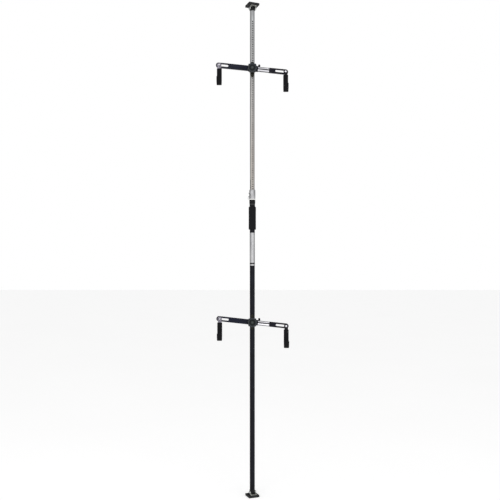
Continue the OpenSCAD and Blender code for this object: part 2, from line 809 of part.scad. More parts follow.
module spacer(arm, x) {
  color("#2a2a2c") upright_at(arm, x) difference() {
    along_y(spacer_d, channel_d + face_gap, channel_d + face_gap + spacer_t);
    along_y(bolt_d + 2 * fit_gap, 0, 2 * hook_back);
  }
}

// Side view of the hook: depth forward and height, counted from the bolt
module hook_outline(thick, top, lip) {
  difference() {
    union() {
      translate([-thick / 2, -bend_drop]) square([thick, bend_drop - top]);
      translate([bend_r, -bend_drop]) circle(r = bend_r + thick / 2, $fn = 64);
      translate([2 * bend_r - thick / 2, -bend_drop]) square([thick, lip - bend_r]);
    }
    translate([bend_r, -bend_drop]) circle(r = bend_r - thick / 2, $fn = 64);
    translate([thick / 2, -bend_drop]) square([2 * bend_r - thick, 2 * bend_r]);
  }
}

module bent(width, thick, top, lip) {
  translate([0, -hook_mid, 0]) rotate([90, 0, -90])
    linear_extrude(height = width, center = true) hook_outline(thick, top, lip);
}

module hook(arm, x) {
  color("#9b9aa2") upright_at(arm, x) difference() {
    union() {
      bent(hook_w, hook_t, 0, lip_h);
      along_y(2 * plate_r, hook_back, hook_back + hook_t);
    }
    along_y(bolt_d + 2 * run_gap, 0, 2 * hook_back);
  }
}

module sleeve(arm, x, top) {
  color("#1a1a1b") upright_at(arm, x) difference() {
    bent(sleeve_w, sleeve_t, top, lip_h + sleeve_end);
    bent(hook_w + 2 * fit_gap, hook_t + 2 * fit_gap, top - over, lip_h + fit_gap);
  }
}

floor_pad();
floor_bracket();
floor_bolt();
floor_plug();
lower_tube();
label_band();
grip();
tube_cap();
tension_spring();
nylon_washer();
lock_housing();
stop_screw();
upper_tube();
slide_bush();
pin_carrier();
lock_pin();
pull_ring();
ceiling_plug();
ceiling_bolt();
ceiling_bracket();
ceiling_pad();
liner(LOWER);  // lower_liner
strap(LOWER);  // lower_strap
saddle(LOWER);  // lower_saddle
stud(LOWER);  // lower_stud
washer(LOWER);  // lower_washer
knob(LOWER);  // lower_knob
knob_cap(LOWER);  // lower_knob_cap
channel(LOWER);  // lower_channel
slide_bar(LOWER);  // lower_slide_bar
end_piece(LOWER);  // lower_end_piece
lock_screw(LOWER);  // lower_lock_screw
hook_bolt(LOWER, left_x(LOWER), channel_wall);  // lower_left_bolt
spacer(LOWER, left_x(LOWER));  // lower_left_spacer
hook(LOWER, left_x(LOWER));  // lower_left_hook
sleeve(LOWER, left_x(LOWER), left_sleeve_top);  // lower_left_sleeve
hook_bolt(LOWER, right_x(LOWER), end_wall);  // lower_right_bolt
spacer(LOWER, right_x(LOWER));  // lower_right_spacer
hook(LOWER, right_x(LOWER));  // lower_right_hook
sleeve(LOWER, right_x(LOWER), right_sleeve_top);  // lower_right_sleeve
liner(UPPER);  // upper_liner
strap(UPPER);  // upper_strap
saddle(UPPER);  // upper_saddle
stud(UPPER);  // upper_stud
washer(UPPER);  // upper_washer
knob(UPPER);  // upper_knob
knob_cap(UPPER);  // upper_knob_cap
channel(UPPER);  // upper_channel
slide_bar(UPPER);  // upper_slide_bar
end_piece(UPPER);  // upper_end_piece
lock_screw(UPPER);  // upper_lock_screw
hook_bolt(UPPER, left_x(UPPER), channel_wall);  // upper_left_bolt
spacer(UPPER, left_x(UPPER));  // upper_left_spacer
hook(UPPER, left_x(UPPER));  // upper_left_hook
sleeve(UPPER, left_x(UPPER), left_sleeve_top);  // upper_left_sleeve
hook_bolt(UPPER, right_x(UPPER), end_wall);  // upper_right_bolt
spacer(UPPER, right_x(UPPER));  // upper_right_spacer
hook(UPPER, right_x(UPPER));  // upper_right_hook
sleeve(UPPER, right_x(UPPER), right_sleeve_top);  // upper_right_sleeve
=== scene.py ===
"""Finishes, moulded and rounded pieces, camera and studio for a floor-to-ceiling bike storage rack."""

import json
import math

import bmesh
import bpy
from mathutils import Matrix, Vector


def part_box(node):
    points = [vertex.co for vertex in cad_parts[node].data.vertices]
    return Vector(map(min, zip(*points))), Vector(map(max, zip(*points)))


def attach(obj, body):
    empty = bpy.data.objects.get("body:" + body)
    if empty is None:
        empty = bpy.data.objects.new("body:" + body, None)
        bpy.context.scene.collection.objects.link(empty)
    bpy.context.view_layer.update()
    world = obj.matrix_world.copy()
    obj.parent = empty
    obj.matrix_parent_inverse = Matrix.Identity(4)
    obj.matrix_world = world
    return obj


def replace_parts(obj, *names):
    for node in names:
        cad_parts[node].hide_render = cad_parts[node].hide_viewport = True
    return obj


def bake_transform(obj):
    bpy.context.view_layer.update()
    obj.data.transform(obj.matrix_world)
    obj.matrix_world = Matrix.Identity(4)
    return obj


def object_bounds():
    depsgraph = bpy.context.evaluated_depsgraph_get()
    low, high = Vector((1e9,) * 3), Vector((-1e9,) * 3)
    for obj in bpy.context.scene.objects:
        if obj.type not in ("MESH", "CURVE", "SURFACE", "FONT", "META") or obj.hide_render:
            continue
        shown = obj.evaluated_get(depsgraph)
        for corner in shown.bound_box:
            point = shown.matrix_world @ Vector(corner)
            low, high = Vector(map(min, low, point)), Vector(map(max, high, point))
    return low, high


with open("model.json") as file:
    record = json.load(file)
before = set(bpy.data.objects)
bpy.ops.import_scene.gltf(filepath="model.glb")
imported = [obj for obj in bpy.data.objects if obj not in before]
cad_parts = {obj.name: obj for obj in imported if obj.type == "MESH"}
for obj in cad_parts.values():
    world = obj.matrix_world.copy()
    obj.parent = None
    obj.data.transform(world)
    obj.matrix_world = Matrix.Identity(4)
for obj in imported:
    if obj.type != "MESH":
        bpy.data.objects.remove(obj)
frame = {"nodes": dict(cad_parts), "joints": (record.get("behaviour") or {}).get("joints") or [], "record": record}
cad_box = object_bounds()
nodes = frame["nodes"]
record = frame["record"]
body_of = {n: b for b, members in record["behaviour"]["bodies"].items() for n in members}
slot_of = {s["node"]: s["material_slot"] for s in record["subparts"]}
joint_named = {j["name"]: j for j in frame["joints"]}

MM = 0.001
ARMS = ("lower", "upper")
SIDES = ("left", "right")

# Camera, from the photo: it stands level in front of the pole
PHOTO_PX = 500
FOCAL_PX = 675
POLE_PX = 252.3
HORIZON_PX = 277
CAMERA_DISTANCE = 3.75
CAMERA_HEIGHT = 1.218
SENSOR_MM = 36

# Sizes that a box doesn't show, as in the part's source
SLEEVE_T = 8 * MM
HUB_T = 5 * MM
HUB_R = 15 * MM
LOBE_R = 5 * MM
NOTCH_D = 3.5 * MM
LOBES = 12
CAP_POCKET_R = 13.05 * MM
STUD_BORE_R = 4.1 * MM
BOLT_HEAD_T = 3.5 * MM
BOLT_HEAD_R = 6.5 * MM
BOLT_R = 4 * MM
NUT_T = 5 * MM
NUT_AF = 13 * MM
THREAD_END = 1.5 * MM
RING_WIRE = 1.6 * MM
SPRING_WIRE = 2 * MM
SPRING_TURNS = 6
LOCK_SHANK_R = 2.5 * MM
BAR_H = 25.2 * MM
GROOVE_W = 5.5 * MM
GROOVE_UP = 2 * MM

# Height of a sleeve's lip over the lowest point of its mid-line: the hook's lip and 3 mm beyond it
LIP_H = 37 * MM

# A little thinner than the part's, to keep its rounded thread clear of the pin carrier
STOP_SHANK_R = 2.25 * MM

# Sizes of details that only the scene has
CAP_RING_T = 3 * MM
LABEL_RING_UP = 8.3 * MM
LABEL_RING_H = 7 * MM
HOLE_RIM_SHADE = 0.5 * MM
KNOB_RING_R = 17 * MM
SLEEVE_CORNER = 2.6 * MM
CROSS_W = 5.2 * MM
CROSS_D = 1.2 * MM
CROSS_TURN = 20

# The higher, the smaller the fillet between a knob's lobes
STAR_FILLET = 40

UP = Vector((0, 0, 1))
FORWARD = Vector((0, -1, 0))

# Grains of moulded plastic, in features per metre, and the height of fine bumps
MOULD_GRAIN = 1900.0
BLOOM = 35.0
MOULD_GRAIN_H = 0.04 * MM
STEEL_GRAIN_H = 0.02 * MM
DRAWN_LINE_H = 0.03 * MM

# Bevel test: match of the bevelled and the plain normal on a flat face and on a sharp edge
EDGE_FLAT = 0.985
EDGE_SHARP = 0.86

# An edge whose faces turn by more than this is shaded sharp, and rounded where a piece is softened
SHARP = math.radians(32)

# Studio: strength of the surrounding light in front, behind and overhead; lamps as name, place and watts
FRONT_LIGHT = 0.85
BACK_LIGHT = 0.1
TOP_LIGHT = 0.2
LAMP_SIZE = 2.2
LAMPS = (("key", (-1.6, -4.6, 3.0), 45), ("fill", (2.2, -4.2, 1.6), 25))
FLOOR_HALF = 60
FLOOR_GLOW = 0.45


def arm_slope(arm):
    """Angle by which an arm slopes down towards +X."""
    along = joint_named[f"{arm}_bar_slide"]["axis"]
    return math.atan2(-along[2], along[0])


# Finishes

class Finish:
    """A material being made: a tree of nodes around one shader."""

    def __init__(self, name, roughness=0.5, metallic=0.0, **sockets):
        self.material = bpy.data.materials.new(name)
        self.material.use_nodes = True
        self.tree = self.material.node_tree
        self.shader = self.tree.nodes["Principled BSDF"]
        self.shader.inputs["Roughness"].default_value = roughness
        self.shader.inputs["Metallic"].default_value = metallic
        for socket, value in sockets.items():
            self.shader.inputs[socket.replace("_", " ")].default_value = value
        self.place = self.tree.nodes.new("ShaderNodeTexCoord").outputs["Object"]

    def node(self, kind, inputs=(), **settings):
        made = self.tree.nodes.new(kind)
        for key, value in settings.items():
            setattr(made, key, value)
        for key, value in dict(inputs).items():
            if isinstance(value, bpy.types.NodeSocket):
                self.tree.links.new(value, made.inputs[key])
            else:
                made.inputs[key].default_value = value
        return made

    def scaled(self, scale, turn=(0, 0, 0)):
        """The place on the object, turned and then stretched by scale."""
        turned = self.node("ShaderNodeMapping", {"Vector": self.place, "Rotation": turn})
        return self.node("ShaderNodeMapping", {"Vector": turned.outputs[0], "Scale": scale}).outputs[0]

    def noise(self, scale, detail=4.0, place=None, distortion=0.0):
        return self.node("ShaderNodeTexNoise", {
            "Vector": place or self.place, "Scale": scale, "Detail": detail,
            "Distortion": distortion}).outputs["Fac"]

    def cells(self, scale, feature="F1", place=None):
        return self.node("ShaderNodeTexVoronoi", {"Vector": place or self.place, "Scale": scale},
                         feature=feature).outputs["Distance"]

    def band(self, value, low, high, out_low=0.0, out_high=1.0):
        return self.node("ShaderNodeMapRange", {
            "Value": value, "From Min": low, "From Max": high, "To Min": out_low,
            "To Max": out_high}).outputs["Result"]

    def math(self, operation, a, b=0.0):
        return self.node("ShaderNodeMath", {0: a, 1: b}, operation=operation).outputs[0]

    def mix(self, share, a, b):
        made = self.node("ShaderNodeMix", data_type="RGBA")
        for key, value in ((0, share), (6, a), (7, b)):
            if isinstance(value, bpy.types.NodeSocket):
                self.tree.links.new(value, made.inputs[key])
            else:
                made.inputs[key].default_value = value
        return made.outputs[2]

    def axis(self, letter):
        return self.node("ShaderNodeSeparateXYZ", {0: self.place}).outputs[letter]

    def minus(self, value, other):
        return self.math("SUBTRACT", value, other)

    def off(self, value, middle):
        """How far a value is from a middle one."""
        return self.math("ABSOLUTE", self.minus(value, middle))

    def both(self, a, b):
        return self.math("MULTIPLY", a, b)

    def bloomed(self, bloom, tone, lighter):
        """The tone of moulded plastic, lighter where it has bloomed."""
        return self.mix(self.band(bloom, 0.35, 0.8), tone, lighter)

    def radius(self, centre, axis):
        """Distance from the line through centre that is parallel to the axis."""
        keep = tuple(0.0 if letter == axis else 1.0 for letter in "XYZ")
        away = self.node("ShaderNodeVectorMath", {0: self.place, 1: centre},
                         operation="SUBTRACT").outputs[0]
        flat = self.node("ShaderNodeVectorMath", {0: away, 1: keep}, operation="MULTIPLY").outputs[0]
        return self.node("ShaderNodeVectorMath", {0: flat}, operation="LENGTH").outputs["Value"]

    def edges(self, width):
        """From 0 on flat faces to 1 on edges, where the face turns within the width."""
        turned = self.node("ShaderNodeBevel", {"Radius": width}, samples=4).outputs[0]
        straight = self.node("ShaderNodeNewGeometry").outputs["Normal"]
        match = self.node("ShaderNodeVectorMath", {0: turned, 1: straight}, operation="DOT_PRODUCT")
        return self.band(match.outputs["Value"], EDGE_FLAT, EDGE_SHARP)

    def worn(self, width, scale=140.0):
        """Edges rubbed here and there."""
        return self.both(self.edges(width), self.band(self.noise(scale, 4.0), 0.42, 0.6))

    def colour(self, value):
        if isinstance(value, bpy.types.NodeSocket):
            self.tree.links.new(value, self.shader.inputs["Base Color"])
        else:
            self.shader.inputs["Base Color"].default_value = value

    def roughness(self, socket):
        self.tree.links.new(socket, self.shader.inputs["Roughness"])

    def bump(self, *layers):
        """Bump from (height, depth in metres) layers, each on top of the one before."""
        normal = None
        for height, depth in layers:
            inputs = {"Height": height, "Distance": depth, "Strength": 1.0}
            if normal is not None:
                inputs["Normal"] = normal
            normal = self.node("ShaderNodeBump", inputs).outputs[0]
        self.tree.links.new(normal, self.shader.inputs["Normal"])


def rgb(red, green, blue):
    return (red, green, blue, 1.0)


def shade(tone, share, lift=0.0, most=1.0):
    """A tone scaled by share and lifted, with no part of it above most."""
    return rgb(*(min(share * part + lift, most) for part in tone[:3]))


def drawn_steel(name, cool, warm, roughness, box):
    """Zinc-plated drawn tube: fine lines along it, a cooler tone near its top, dull patches, painted shade
    round its holes and painted shade on its bore."""
    low, high = box
    outside = (high.x - low.x) / 2
    f = Finish(name, roughness, 1.0)
    lines = f.noise(1.0, 6.0, f.scaled((2600, 2600, 14)))
    patches = f.noise(28.0, 5.0, distortion=0.6)
    warm_to = low.z + 0.6
    tone = f.mix(f.band(f.axis("Z"), warm_to, high.z), warm, cool)
    darker = f.mix(0.55, tone, rgb(0.16, 0.15, 0.14))
    skin = f.mix(f.band(patches, 0.45, 0.8, 0.0, 0.35), tone, darker)
    # Painted shade: the rounded rims of the holes, and the tube's other rounded edges, are mixed towards near
    # black
    skin = f.mix(f.edges(HOLE_RIM_SHADE), skin, rgb(0.02, 0.02, 0.02))
    # Painted shade: the inside of the tube, seen through its holes, is coloured near black
    dark_to, skin_from = outside - 0.8 * MM, outside - 0.6 * MM
    out_of_bore = f.band(f.radius((0, 0, 0), "Z"), dark_to, skin_from)
    f.colour(f.mix(out_of_bore, rgb(0.006, 0.006, 0.006), skin))
    f.roughness(f.band(f.math("ADD", lines, patches), 0.6, 1.4, roughness - 0.07, roughness + 0.1))
    f.bump((lines, DRAWN_LINE_H))
    return f.material


def plain_steel(name, tone, roughness, grain=900.0):
    """Plated steel part: a fine grain, a soft cloudiness and lighter rubbed edges."""
    f = Finish(name, roughness, 1.0)
    grains = f.noise(grain, 3.0)
    clouds = f.noise(60.0, 4.0)
    face = f.mix(f.band(clouds, 0.4, 0.75, 0.0, 0.6), tone, shade(tone, 0.6))
    f.colour(f.mix(f.worn(0.6 * MM), face, shade(tone, 1.3, most=0.9)))
    f.roughness(f.band(clouds, 0.3, 0.7, roughness - 0.06, roughness + 0.08))
    f.bump((grains, STEEL_GRAIN_H))
    return f.material


def coat(name, tone, sheen_tone, roughness, grain=1400.0, depth=0.03 * MM, metallic=0.0, specular=0.12,
         bare=rgb(0.09, 0.09, 0.095)):
    """Powder coat or anodising: an orange-peel skin, a faint change of tone, and rubbed marks and edges."""
    f = Finish(name, roughness, metallic, Specular_IOR_Level=specular)
    skin = f.noise(grain, 2.0)
    clouds = f.noise(22.0, 5.0, distortion=0.4)
    rubs = f.noise(1.0, 3.0, f.scaled((90, 90, 420)))
    f.colour(f.mix(f.worn(0.7 * MM), f.mix(f.band(clouds, 0.3, 0.75), tone, sheen_tone), bare))
    f.roughness(f.band(rubs, 0.35, 0.75, roughness - 0.06, roughness + 0.12))
    f.bump((skin, depth))
    return f.material


def moulded(name, tone, lighter, roughness, grain=MOULD_GRAIN, depth=MOULD_GRAIN_H, specular=0.12):
    """Moulded plastic: fine spark-eroded grain with a faint bloom."""
    f = Finish(name, roughness, 0.0, Specular_IOR_Level=specular)
    grains = f.cells(grain)
    bloom = f.noise(BLOOM, 5.0)
    f.colour(f.mix(f.worn(0.6 * MM), f.bloomed(bloom, tone, lighter), shade(lighter, 2.2, 0.01, 0.95)))
    f.roughness(f.band(bloom, 0.3, 0.7, roughness - 0.05, roughness + 0.08))
    f.bump((grains, depth))
    return f.material


def foam(name, tone, lighter, cell=1100.0, depth=0.22 * MM):
    """Closed-cell foam: small pits with painted shade in them, larger dents and a dry surface."""
    f = Finish(name, 0.86, 0.0, Specular_IOR_Level=0.1)
    pits = f.cells(cell)
    dents = f.noise(130.0, 4.0)
    # Painted shade: darker at the bottom of each pit, lighter on the rims between them
    f.colour(f.mix(f.band(pits, 0.1, 0.75), tone, lighter))
    f.roughness(f.band(dents, 0.3, 0.7, 0.78, 0.95))
    f.bump((dents, 0.3 * MM), (pits, depth))
    return f.material


def rubber(name, tone, lighter):
    """Moulded rubber: soft sheen, dusty patches and a fine texture."""
    f = Finish(name, 0.7, 0.0, Specular_IOR_Level=0.2)
    dust = f.noise(45.0, 6.0, distortion=0.8)
    grains = f.noise(1500.0, 2.0)
    f.colour(f.mix(f.band(dust, 0.45, 0.85), tone, lighter))
    f.roughness(f.band(dust, 0.3, 0.7, 0.6, 0.85))
    f.bump((grains, 0.06 * MM))
    return f.material


def brushed_bar(name, tone, arm):
    """Anodised bar: lines along the arm, and painted shade on its top and bottom edges and in a groove a little
    above its middle.
    """
    slope = arm_slope(arm)
    f = Finish(name, 0.3, 1.0)
    lines = f.noise(1.0, 5.0, f.scaled((16, 2400, 2400), (0, -slope, 0)))
    clouds = f.noise(30.0, 4.0)
    pivot = joint_named[f"{arm}_tilt"]["pos_m"]
    share_x = f.both(f.minus(f.axis("X"), pivot[0]), math.sin(slope))
    share_z = f.both(f.minus(f.axis("Z"), pivot[2]), math.cos(slope))
    across = f.math("ADD", share_x, share_z)
    face = f.mix(f.band(clouds, 0.4, 0.8, 0.0, 0.5), tone, shade(tone, 0.8))
    # Painted shade: the bar's top and bottom edges are mixed towards dark grey
    edge_starts, edge_full = BAR_H / 2 - 4.2 * MM, BAR_H / 2 - 3 * MM
    painted_edge_shade = f.band(f.math("ABSOLUTE", across), edge_starts, edge_full)
    # Painted shade: the groove and a band along its lips are coloured near black
    lip_out, lip_in = GROOVE_W / 2 + 0.9 * MM, GROOVE_W / 2 + 0.3 * MM
    painted_groove_shade = f.band(f.off(across, GROOVE_UP), lip_out, lip_in)
    f.colour(f.mix(painted_groove_shade, f.mix(painted_edge_shade, face, rgb(0.1, 0.1, 0.105)), rgb(0.03, 0.03, 0.032)))
    f.roughness(f.band(lines, 0.3, 0.7, 0.22, 0.4))
    f.bump((lines, DRAWN_LINE_H))
    return f.material


def label_film(name):
    """Silver foil round the tube: a dark ring near its lower edge and a slight ripple."""
    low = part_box("label_band")[0].z
    f = Finish(name, 0.35, 0.85)
    height = f.axis("Z")
    ring_low = low + LABEL_RING_UP
    above = f.math("GREATER_THAN", height, ring_low)
    below = f.math("LESS_THAN", height, ring_low + LABEL_RING_H)
    ripple = f.noise(1.0, 3.0, f.scaled((60, 60, 12)))
    silver = f.mix(f.band(ripple, 0.3, 0.7), rgb(0.36, 0.36, 0.375), rgb(0.47, 0.47, 0.475))
    f.colour(f.mix(f.both(above, below), silver, rgb(0.012, 0.012, 0.014)))
    f.roughness(f.band(ripple, 0.3, 0.7, 0.28, 0.42))
    f.bump((ripple, 0.4 * MM), (f.noise(1200.0), 0.01 * MM))
    return f.material


def knob_face(name, tone, lighter, arm):
    """Moulded star knob: painted shade in its notches, and a lighter, smoother ring on its face."""
    low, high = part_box(f"{arm}_knob")
    outer = (high.x - low.x) / 2
    middle = (low + high) / 2
    f = Finish(name, 0.42, 0.0, Specular_IOR_Level=0.15)
    away = f.radius(middle, "Y")
    # A ring on the face is made lighter and smoother, and the rubbed edges are lighter too
    ring = f.both(f.band(away, KNOB_RING_R, KNOB_RING_R + 2 * MM),
                  f.band(away, outer - 3 * MM, outer - 5.5 * MM))
    lighter_ring_and_wear = f.math("MAXIMUM", f.band(ring, 0.0, 1.0, 0.0, 0.8), f.worn(0.8 * MM))
    face = f.mix(lighter_ring_and_wear, f.bloomed(f.noise(BLOOM, 5.0), tone, lighter), shade(lighter, 3.2))
    # Angle from the nearest notch, of which one lies on the X axis
    pitch = 2 * math.pi / LOBES
    angle = f.math("ARCTAN2", f.minus(f.axis("Z"), middle.z), f.minus(f.axis("X"), middle.x))
    turned = f.math("ADD", angle, pitch * (LOBES + 0.5))
    from_notch = f.off(f.math("MODULO", turned, pitch), pitch / 2)
    # Painted shade: the notches between the lobes are mixed towards black
    painted_notch_shade = f.both(f.band(from_notch, 0.34 * pitch, 0.2 * pitch),
                      f.band(away, outer - 7 * MM, outer - 5 * MM))
    f.colour(f.mix(painted_notch_shade, face, rgb(0.001, 0.001, 0.0012)))
    f.roughness(f.band(ring, 0.0, 1.0, 0.5, 0.36))
    f.bump((f.cells(MOULD_GRAIN), MOULD_GRAIN_H))
    return f.material


def cap_face(name, tone, lighter, arm):
    """Domed cap: lighter towards the middle in patches, and its darker base tone out to the rim, groove included.
    """
    low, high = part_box(f"{arm}_knob_cap")
    outer = (high.x - low.x) / 2
    f = Finish(name, 0.36, 0.0, Specular_IOR_Level=0.15)
    away = f.radius((low + high) / 2, "Y")
    bloom = f.noise(120.0, 4.0)
    share = f.both(f.band(away, 0.75 * outer, 0.2 * outer), f.band(bloom, 0.2, 0.6, 0.6, 1.0))
    f.colour(f.mix(share, tone, lighter))
    f.roughness(f.band(bloom, 0.3, 0.7, 0.3, 0.44))
    f.bump((f.cells(MOULD_GRAIN), 0.03 * MM))
    return f.material


def screw_head(name, tone, node):
    """Plated pan head: bright and domed in its middle, with painted shade making it dark towards its rim."""
    low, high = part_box(node)
    f = Finish(name, 0.3, 1.0)
    away = f.radius((low + high) / 2, "Y")
    grains = f.noise(1200.0, 3.0)
    # Painted shade: towards its rim the head is coloured far darker than its middle
    f.colour(f.mix(f.band(away, 0.66 * BOLT_HEAD_R, 0.82 * BOLT_HEAD_R), tone, shade(tone, 0.08)))
    f.roughness(f.band(grains, 0.3, 0.7, 0.24, 0.36))
    f.bump((grains, STEEL_GRAIN_H))
    return f.material


def cap_with_ring(name, tone, lighter):
    """Black end cap with a painted highlight: a grey ring where the tube ends under it."""
    ring_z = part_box("lower_tube")[1].z
    f = Finish(name, 0.4, 0.0, Specular_IOR_Level=0.12)
    bloom = f.noise(BLOOM, 5.0)
    # Painted highlight: a thin grey ring at the height where the tube ends
    near = f.band(f.off(f.axis("Z"), ring_z), CAP_RING_T / 2, CAP_RING_T / 2 - 0.4 * MM)
    ring = f.both(near, f.band(bloom, 0.2, 0.4))
    f.colour(f.mix(f.band(ring, 0.0, 1.0, 0.0, 0.9), f.bloomed(bloom, tone, lighter),
                   rgb(0.09, 0.09, 0.09)))
    f.roughness(f.band(bloom, 0.3, 0.7, 0.36, 0.48))
    f.bump((f.cells(MOULD_GRAIN), MOULD_GRAIN_H))
    return f.material


finishes = {
    "tube_steel": drawn_steel("Drawn steel tube", rgb(0.44, 0.45, 0.46), rgb(0.42, 0.395, 0.37), 0.36,
                              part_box("upper_tube")),
    "bracket_steel": plain_steel("Pivot bracket steel", rgb(0.56, 0.57, 0.53), 0.4),
    "bolt_steel": plain_steel("Bolt steel", rgb(0.5, 0.51, 0.52), 0.34),
    "clamp_steel": plain_steel("Clamp steel", rgb(0.42, 0.43, 0.44), 0.42),
    "spring_steel": plain_steel("Spring steel", rgb(0.34, 0.35, 0.37), 0.3),
    "ring_steel": plain_steel("Blackened ring steel", rgb(0.05, 0.05, 0.055), 0.3),
    "hook_zinc": plain_steel("Hook strap steel", rgb(0.2, 0.19, 0.225), 0.42),
    "hook_black": coat("Black hook strap", rgb(0.004, 0.004, 0.006), rgb(0.01, 0.01, 0.014), 0.4,
                       bare=rgb(0.03, 0.03, 0.034)),
    "lower_paint": coat("Black tube coat", rgb(0.003, 0.003, 0.005), rgb(0.007, 0.008, 0.014), 0.34),
    "housing_paint": coat("Light grey housing coat", rgb(0.34, 0.34, 0.35), rgb(0.52, 0.52, 0.53), 0.42,
                          grain=700.0, depth=0.06 * MM, metallic=0.75, specular=0.5,
                          bare=rgb(0.3, 0.3, 0.3)),
    "arm_paint": coat("Navy black anodising", rgb(0.004, 0.005, 0.009), rgb(0.008, 0.01, 0.024), 0.36,
                      bare=rgb(0.03, 0.03, 0.036)),
    "nylon": moulded("White nylon", rgb(0.82, 0.82, 0.8), rgb(0.9, 0.9, 0.88), 0.4),
    "bush_plastic": moulded("Cream bush plastic", rgb(0.7, 0.69, 0.64), rgb(0.78, 0.77, 0.73), 0.5),
    "plug_plastic": moulded("Black plug plastic", rgb(0.008, 0.008, 0.009), rgb(0.02, 0.02, 0.022), 0.45),
    "cap_plastic": cap_with_ring("Black cap plastic", rgb(0.004, 0.004, 0.005), rgb(0.009, 0.009, 0.01)),
    "saddle_plastic": moulded("Olive black saddle plastic", rgb(0.012, 0.012, 0.008),
                              rgb(0.03, 0.031, 0.022), 0.5),
    "washer_fibre": moulded("Dark fibre washer", rgb(0.03, 0.03, 0.03), rgb(0.07, 0.065, 0.06), 0.8),
    "end_plastic": moulded("Black end plastic", rgb(0.004, 0.004, 0.007), rgb(0.009, 0.009, 0.018), 0.42),
    "ball_plastic": moulded("Black ball plastic", rgb(0.0015, 0.0015, 0.0015), rgb(0.003, 0.003, 0.003),
                            0.5, grain=2500.0, depth=0.004 * MM, specular=0.04),
    "grip_foam": foam("Black grip foam", rgb(0.004, 0.004, 0.005), rgb(0.012, 0.012, 0.014)),
    "sleeve_rubber": foam("Black sleeve foam", rgb(0.003, 0.003, 0.004), rgb(0.01, 0.01, 0.011),
                          cell=1500.0, depth=0.12 * MM),
    "pad_rubber": rubber("Black pad rubber", rgb(0.012, 0.012, 0.013), rgb(0.045, 0.045, 0.046)),
    "label_film": label_film("Silver label film"),
}
for arm in ARMS:
    finishes[f"{arm}_slide_bar"] = brushed_bar(f"Brushed {arm} bar", rgb(0.78, 0.77, 0.81), arm)
    finishes[f"{arm}_knob"] = knob_face(f"Charcoal {arm} knob", rgb(0.006, 0.007, 0.008),
                                        rgb(0.014, 0.016, 0.018), arm)
    finishes[f"{arm}_knob_cap"] = cap_face(f"Grey green {arm} cap", rgb(0.006, 0.008, 0.008),
                                           rgb(0.05, 0.058, 0.056), arm)
    # Painted light and shade: all are the same plated screw, but the left ones get a darker tone than the right
    # ones
    for side, tone in (("left", rgb(0.55, 0.54, 0.58)), ("right", rgb(0.8, 0.79, 0.84))):
        bolt = f"{arm}_{side}_bolt"
        finishes[bolt] = screw_head(f"Plated {arm} {side} screw", tone, bolt)


def finish_for(node):
    """A node's own finish where it has one, and else that of its material slot."""
    return finishes.get(node) or finishes[slot_of[node]]


for name, cad in nodes.items():
    cad.data.materials.clear()
    cad.data.materials.append(finish_for(name))


# Pieces

def add_piece(name, bm, node, rides=True):
    """Makes an object from a bmesh, in the place and finish of the CAD node that it stands for."""
    bmesh.ops.recalc_face_normals(bm, faces=bm.faces)
    for face in bm.faces:
        face.smooth = True
    for edge in bm.edges:
        edge.smooth = not edge.is_manifold or edge.calc_face_angle(0.0) < SHARP
    mesh = bpy.data.meshes.new(name)
    bm.to_mesh(mesh)
    bm.free()
    piece = bpy.data.objects.new(name, mesh)
    bpy.context.scene.collection.objects.link(piece)
    mesh.materials.append(finish_for(node))
    if rides:
        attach(piece, body_of[node])
    return piece


def softened(node, width, segments=2):
    """A copy of a CAD node with its sharp edges rounded, in the node's place."""
    bm = bmesh.new()
    bm.from_mesh(nodes[node].data)
    bmesh.ops.remove_doubles(bm, verts=bm.verts, dist=0.000002)
    bmesh.ops.dissolve_limit(bm, angle_limit=math.radians(0.5), verts=bm.verts, edges=bm.edges)
    sharp = [e for e in bm.edges if e.is_manifold and e.calc_face_angle(0.0) > SHARP]
    bmesh.ops.bevel(bm, geom=sharp, offset=width, segments=segments, profile=0.5, affect="EDGES",
                    clamp_overlap=True)
    piece = add_piece(f"rounded_{node}", bm, node)
    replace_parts(piece, node)
    return piece


def lofted(name, node, rings, closed_ends=True, rides=True):
    """A skin over rings of points, each with the same count."""
    bm = bmesh.new()
    loops = [[bm.verts.new(p) for p in ring] for ring in rings]
    count = len(loops[0])
    for near, far in zip(loops, loops[1:]):
        for i in range(count):
            j = (i + 1) % count
            bm.faces.new((near[i], near[j], far[j], far[i]))
    if closed_ends:
        bm.faces.new(loops[0])
        bm.faces.new(loops[-1])
    else:
        for i in range(count):
            j = (i + 1) % count
            bm.faces.new((loops[-1][i], loops[-1][j], loops[0][j], loops[0][i]))
    return add_piece(name, bm, node, rides)


def round_angles(steps):
    return [2 * math.pi * k / steps for k in range(steps)]


def middle_of_back(low, high):
    """The middle of a box's face away from the viewer."""
    return Vector(((low.x + high.x) / 2, high.y, (low.z + high.z) / 2))


def turned_rings(centre, axis, profile, steps, shape=None):
    """Rings round an axis. A profile point is (along, radius); shape(angle, radius, index) may bend it."""
    axis = Vector(axis).normalized()
    side = axis.orthogonal().normalized()
    if abs(axis.z) < 0.9:
        side = axis.cross(UP).normalized()
    other = axis.cross(side)
    rings = []
    for index, (along, radius) in enumerate(profile):
        ring = []
        for angle in round_angles(steps):
            r = shape(angle, radius, index) if shape else radius
            out = side * math.cos(angle) + other * math.sin(angle)
            ring.append(Vector(centre) + axis * along + out * r)
        rings.append(ring)
    return rings


def rounded_edge(along, radius, corner, turn_from, turn_to, steps=4):
    """Profile points round a corner whose arc's centre is (along, radius)."""
    return [(along + corner * math.sin(math.radians(a)), radius + corner * math.cos(math.radians(a)))
            for a in (turn_from + (turn_to - turn_from) * i / steps for i in range(steps + 1))]


# Star knobs: grip lobes, a dished face with a raised ring, and a domed cap

def star_radius(angle, outer):
    """The star's outline: round lobes on a round core, with a small fillet where they meet."""
    pitch = 2 * math.pi / LOBES
    away = angle % pitch - pitch / 2
    core = outer - NOTCH_D
    lobe_at = outer - LOBE_R
    reach = LOBE_R ** 2 - (lobe_at * math.sin(away)) ** 2
    lobe = lobe_at * math.cos(away) + math.sqrt(reach) if reach > 0 else 0
    return (core ** STAR_FILLET + lobe ** STAR_FILLET) ** (1 / STAR_FILLET)


